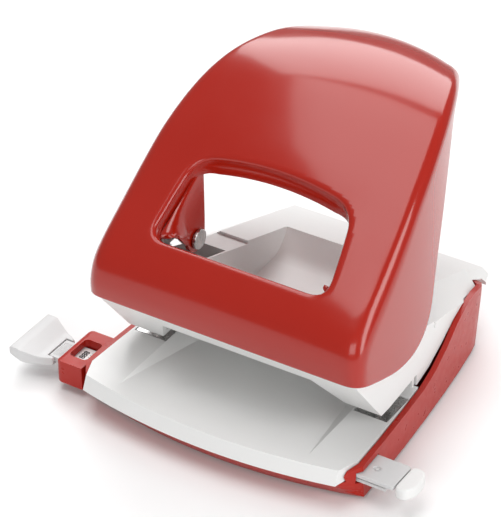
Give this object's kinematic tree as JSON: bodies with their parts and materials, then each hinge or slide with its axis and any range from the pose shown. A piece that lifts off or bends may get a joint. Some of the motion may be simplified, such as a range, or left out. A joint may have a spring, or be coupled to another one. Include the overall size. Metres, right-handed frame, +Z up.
{
  "type": "two-hole desk punch",
  "caption": "Two-hole desk punch: windowed sheet-metal lever over a moulded cover, curved paper deck, hollow base and a pull-out paper stop rail.",
  "frame": {"origin": "on the plane of the table, under the flat underside of the base, in the plane of symmetry between the two punches", "axes": "+X to the right seen from the paper side, +Y to the back, away from the paper, +Z up"},
  "size_m": [0.1446, 0.1158, 0.1001],
  "materials": {
    "red_lacquer": "glossy deep red lacquer on pressed steel",
    "red_plastic": "smooth satin red moulding",
    "white_plastic": "light grey-white satin moulding",
    "grey_plastic": "light grey satin moulding",
    "dark_plastic": "dark soft moulding",
    "steel": "bright drawn steel",
    "scale_label": null,
    "rubber": "black rubber"
  },
  "bodies": {
    "frame": {"base_shell": "red_plastic", "paper_deck": "white_plastic", "body_cover": "white_plastic", "rail_housing": "red_plastic", "pivot_axle": "steel", "die_plate_left": "steel", "die_plate_right": "steel", "punch_guide_left": "steel", "punch_guide_right": "steel", "return_spring_left": "steel", "return_spring_right": "steel", "chip_cover_pin_left": "steel", "chip_cover_pin_right": "steel", "base_screw_1": "steel", "base_screw_2": "steel", "base_screw_3": "steel", "base_screw_4": "steel", "foot_1": "rubber", "foot_2": "rubber", "foot_3": "rubber", "foot_4": "rubber"},
    "lever": {"lever_hood": "red_lacquer", "drive_pin_left": "steel", "drive_pin_right": "steel"},
    "punch_l": {"punch_left": "steel"},
    "punch_r": {"punch_right": "steel"},
    "rail": {"guide_rail": "grey_plastic", "paper_stop_head": "grey_plastic", "rail_scale": "scale_label"},
    "lock": {"lock_slide": "grey_plastic", "lock_pad": "white_plastic"},
    "chip_door": {"chip_cover": "dark_plastic"}
  },
  "joints": [
    {"name": "lever_press", "type": "hinge", "parent": "frame", "child": "lever", "pos_m": [0, -0.047, 0.045], "axis": [-1, 0, 0], "range_deg": [0, 22], "stiffness_Nm_per_rad": 1.5, "springref_deg": -20.05},
    {"name": "punch_left_slide", "type": "slide", "parent": "frame", "child": "punch_l", "axis": [0, 0, -1], "range_m": [0, 0.0088], "deforming": ["return_spring_left"]},
    {"name": "punch_right_slide", "type": "slide", "parent": "frame", "child": "punch_r", "axis": [0, 0, -1], "range_m": [0, 0.0088], "deforming": ["return_spring_right"]},
    {"name": "rail_slide", "type": "slide", "parent": "frame", "child": "rail", "axis": [-1, 0, 0], "range_m": [0, 0.08]},
    {"name": "lock_slide_travel", "type": "slide", "parent": "frame", "child": "lock", "axis": [1, 0, 0], "range_m": [-0.001, 0.003]},
    {"name": "chip_door_hinge", "type": "hinge", "parent": "frame", "child": "chip_door", "pos_m": [0, -0.007, 0.0025], "axis": [1, 0, 0], "range_deg": [0, 75]}
  ],
  "couplings": [
    {"joint": "punch_left_slide", "follows": "lever_press", "m_per_rad": 0.02221},
    {"joint": "punch_right_slide", "follows": "lever_press", "m_per_rad": 0.02221}
  ]
}
